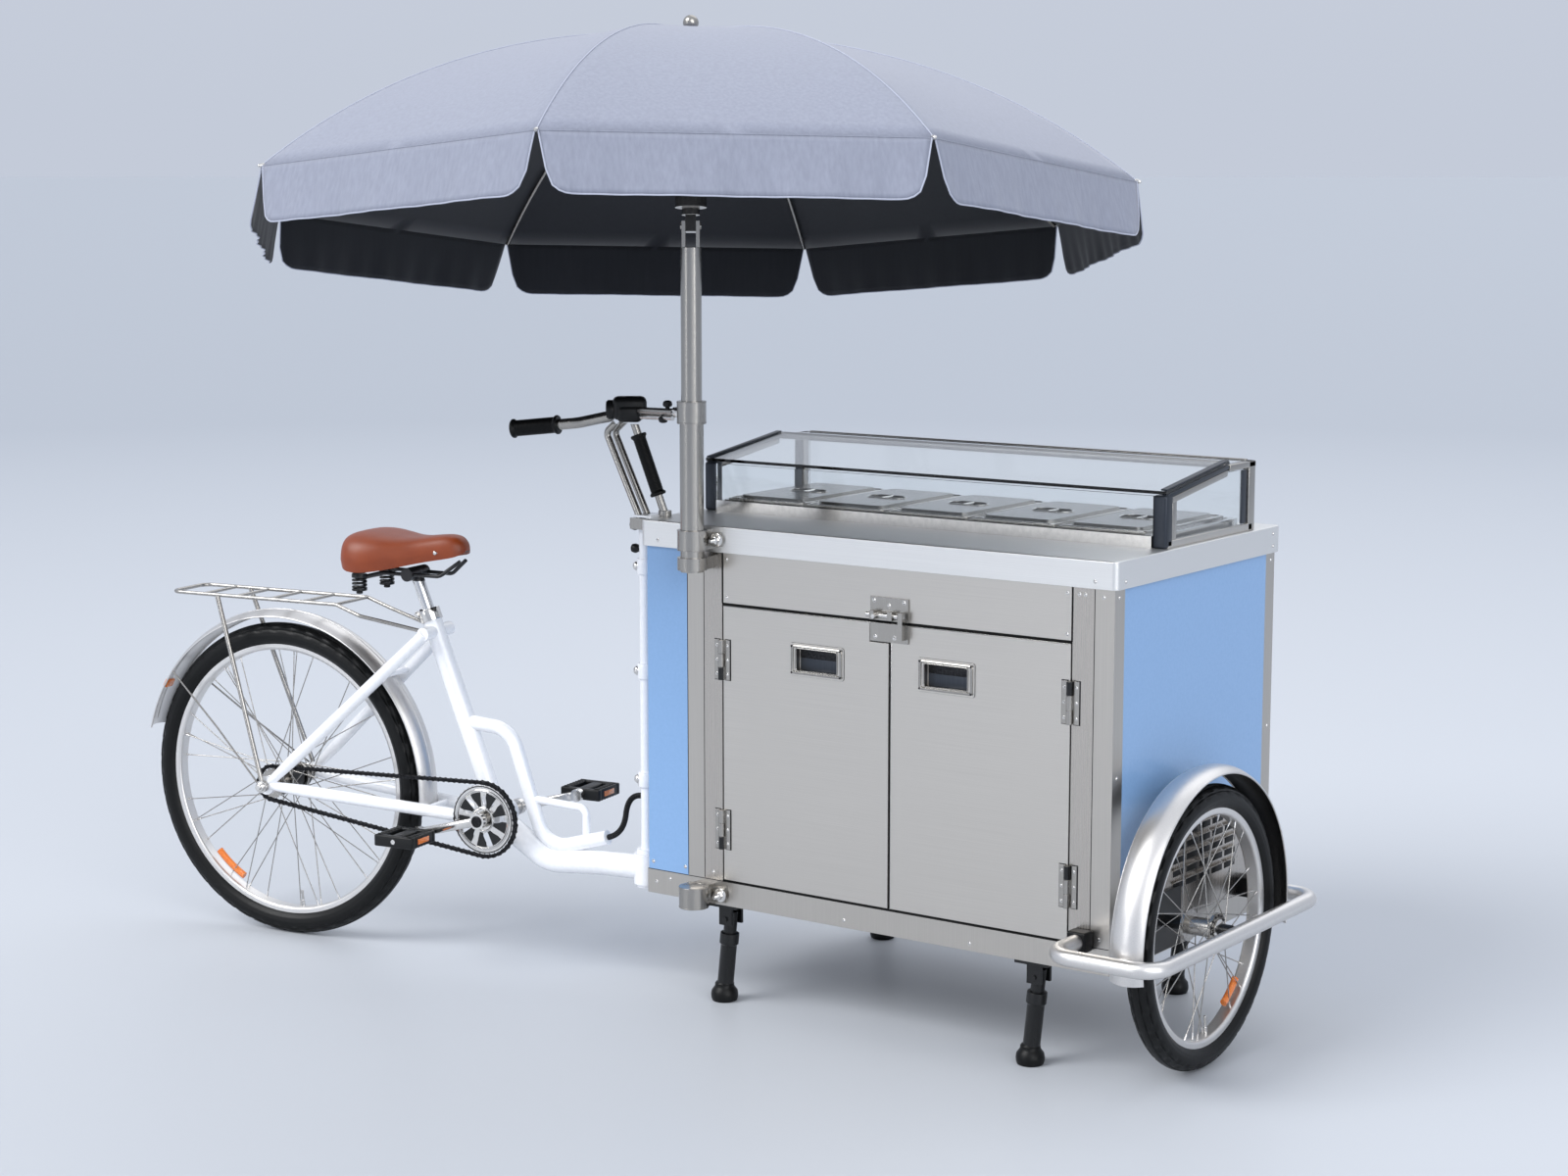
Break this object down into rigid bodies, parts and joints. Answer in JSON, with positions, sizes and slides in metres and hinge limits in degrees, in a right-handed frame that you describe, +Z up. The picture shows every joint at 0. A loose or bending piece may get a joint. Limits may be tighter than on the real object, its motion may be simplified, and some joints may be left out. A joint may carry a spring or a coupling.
{
  "type": "ice cream cart",
  "caption": "Ice cream vending cart: a stainless cabinet with doors, glass case and umbrella, joined to a steering cycle rear end with saddle, chain drive and rack.",
  "frame": {"origin": "on the floor below the middle of the bounding box", "axes": "+X along the cart from the cycle to the cabinet, +Y from the door side to the back, +Z up"},
  "size_m": [2.4666, 1.6066, 1.916],
  "materials": {
    "steel": "brushed",
    "blue_paint": "satin",
    "glass": "clear",
    "black_metal": "satin",
    "bright_metal": "polished",
    "white_paint": "gloss",
    "tyre": "matte",
    "black_rubber": "matte",
    "leather": "satin",
    "canopy_cloth": "matte"
  },
  "bodies": {
    "cabinet": {"cabinet_frame": "steel", "carcass": "steel", "counter": "steel", "fascia": "steel", "blue_panels": "blue_paint", "shelf": "steel", "compressor": "black_metal", "hinge_cabinet_leaves": "steel", "latch_plate": "steel", "pans": "steel", "case_frames": "black_metal", "case_glass": "glass", "leg_brackets": "black_metal", "pole_clamps": "steel", "pole_sleeve": "steel", "front_axle": "black_metal", "front_fender": "bright_metal", "bumper": "bright_metal", "column": "white_paint", "handlebar": "bright_metal", "grips": "black_rubber"},
    "cycle": {"cycle_frame": "white_paint", "chain": "black_metal", "rear_fender": "bright_metal", "rack": "bright_metal", "cable_hose": "black_rubber"},
    "rear_wheel": {"rear_tyre": "tyre", "rear_rim": "bright_metal", "rear_spokes": "bright_metal"},
    "crank": {"crankset": "bright_metal"},
    "pedal_near": {"pedal_near": "black_rubber"},
    "pedal_far": {"pedal_far": "black_rubber"},
    "front_wheel": {"front_tyre": "tyre", "front_rim": "bright_metal", "front_spokes": "bright_metal"},
    "left_door": {"left_door": "steel", "left_pull": "steel", "hinge_left_leaves": "steel"},
    "right_door": {"right_door": "steel", "right_pull": "steel", "hinge_right_leaves": "steel", "latch_keeper": "steel"},
    "latch_bolt": {"latch_bolt": "steel"},
    "glass_lid": {"glass_lid": "glass"},
    "upper_pole": {"upper_pole": "steel"},
    "umbrella": {"umbrella_hub": "steel", "umbrella_ribs": "steel", "umbrella_struts": "steel", "canopy": "canopy_cloth"},
    "seat": {"seat_post": "black_metal", "saddle": "leather"},
    "pan_lid_1": {"pan_lid_1": "steel"},
    "pan_lid_2": {"pan_lid_2": "steel"},
    "pan_lid_3": {"pan_lid_3": "steel"},
    "pan_lid_4": {"pan_lid_4": "steel"},
    "pan_lid_5": {"pan_lid_5": "steel"},
    "leg_1": {"leg_1": "black_metal"},
    "leg_2": {"leg_2": "black_metal"},
    "leg_3": {"leg_3": "black_metal"},
    "leg_4": {"leg_4": "black_metal"}
  },
  "joints": [
    {"name": "steering", "type": "hinge", "parent": "cabinet", "child": "cycle", "pos_m": [-0.0167, 0.09, 0.237], "axis": [0, 0, 1], "range_deg": [-30, 30], "deforming": ["cable_hose"]},
    {"name": "rear_wheel_turn", "type": "hinge", "parent": "cycle", "child": "rear_wheel", "pos_m": [-0.88192, -0.04704, 0.337], "axis": [-0.1564, 0.9877, 0], "continuous": true},
    {"name": "crank_turn", "type": "hinge", "parent": "cycle", "child": "crank", "pos_m": [-0.36437, 0.03494, 0.312], "axis": [-0.1564, 0.9877, 0], "continuous": true},
    {"name": "pedal_near_turn", "type": "hinge", "parent": "crank", "child": "pedal_near", "pos_m": [-0.48745, -0.11416, 0.27318], "axis": [-0.1564, 0.9877, 0], "continuous": true},
    {"name": "pedal_far_turn", "type": "hinge", "parent": "crank", "child": "pedal_far", "pos_m": [-0.24128, 0.18402, 0.35082], "axis": [-0.1564, 0.9877, 0], "continuous": true},
    {"name": "front_wheel_turn", "type": "hinge", "parent": "cabinet", "child": "front_wheel", "pos_m": [1.1433, 0.246, 0.263], "axis": [1, 0, 0], "continuous": true},
    {"name": "left_door_open", "type": "hinge", "parent": "cabinet", "child": "left_door", "pos_m": [0.2038, 0.043, 0.52], "axis": [0, 0, -1], "range_deg": [0, 110]},
    {"name": "right_door_open", "type": "hinge", "parent": "cabinet", "child": "right_door", "pos_m": [0.9748, 0.043, 0.52], "axis": [0, 0, 1], "range_deg": [0, 90]},
    {"name": "latch_slide", "type": "slide", "parent": "cabinet", "child": "latch_bolt", "axis": [1, 0, 0], "range_m": [0, 0.018]},
    {"name": "glass_lid_open", "type": "hinge", "parent": "cabinet", "child": "glass_lid", "pos_m": [0.5383, 0.497, 1.075], "axis": [-1, 0, 0], "range_deg": [0, 95]},
    {"name": "pan_lid_1_lift", "type": "slide", "parent": "cabinet", "child": "pan_lid_1", "axis": [0, 0, 1], "range_m": [0, 0.04]},
    {"name": "pan_lid_2_lift", "type": "slide", "parent": "cabinet", "child": "pan_lid_2", "axis": [0, 0, 1], "range_m": [0, 0.04]},
    {"name": "pan_lid_3_lift", "type": "slide", "parent": "cabinet", "child": "pan_lid_3", "axis": [0, 0, 1], "range_m": [0, 0.04]},
    {"name": "pan_lid_4_lift", "type": "slide", "parent": "cabinet", "child": "pan_lid_4", "axis": [0, 0, 1], "range_m": [0, 0.04]},
    {"name": "pan_lid_5_lift", "type": "slide", "parent": "cabinet", "child": "pan_lid_5", "axis": [0, 0, 1], "range_m": [0, 0.04]},
    {"name": "leg_1_fold", "type": "hinge", "parent": "cabinet", "child": "leg_1", "pos_m": [0.1983, 0.081, 0.17], "axis": [0, -1, 0], "range_deg": [0, 84]},
    {"name": "leg_2_fold", "type": "hinge", "parent": "cabinet", "child": "leg_2", "pos_m": [0.8983, 0.081, 0.17], "axis": [0, -1, 0], "range_deg": [0, 84]},
    {"name": "leg_3_fold", "type": "hinge", "parent": "cabinet", "child": "leg_3", "pos_m": [0.1983, 0.647, 0.17], "axis": [0, -1, 0], "range_deg": [0, 84]},
    {"name": "leg_4_fold", "type": "hinge", "parent": "cabinet", "child": "leg_4", "pos_m": [0.8983, 0.647, 0.17], "axis": [0, -1, 0], "range_deg": [0, 84]},
    {"name": "umbrella_height", "type": "slide", "parent": "cabinet", "child": "upper_pole", "axis": [0, 0, 1], "range_m": [-0.03, 0.2]},
    {"name": "umbrella_tilt", "type": "hinge", "parent": "upper_pole", "child": "umbrella", "pos_m": [0.1633, 0.006, 1.522], "axis": [0.8141, 0.5807, 0], "range_deg": [-13.2, 8.3]},
    {"name": "seat_height", "type": "slide", "parent": "cycle", "child": "seat", "axis": [-0.3592, -0.0569, 0.9315], "range_m": [-0.03, 0.08]}
  ],
  "couplings": [
    {"joint": "crank_turn", "follows": "rear_wheel_turn", "ratio": 0.47368}
  ]
}
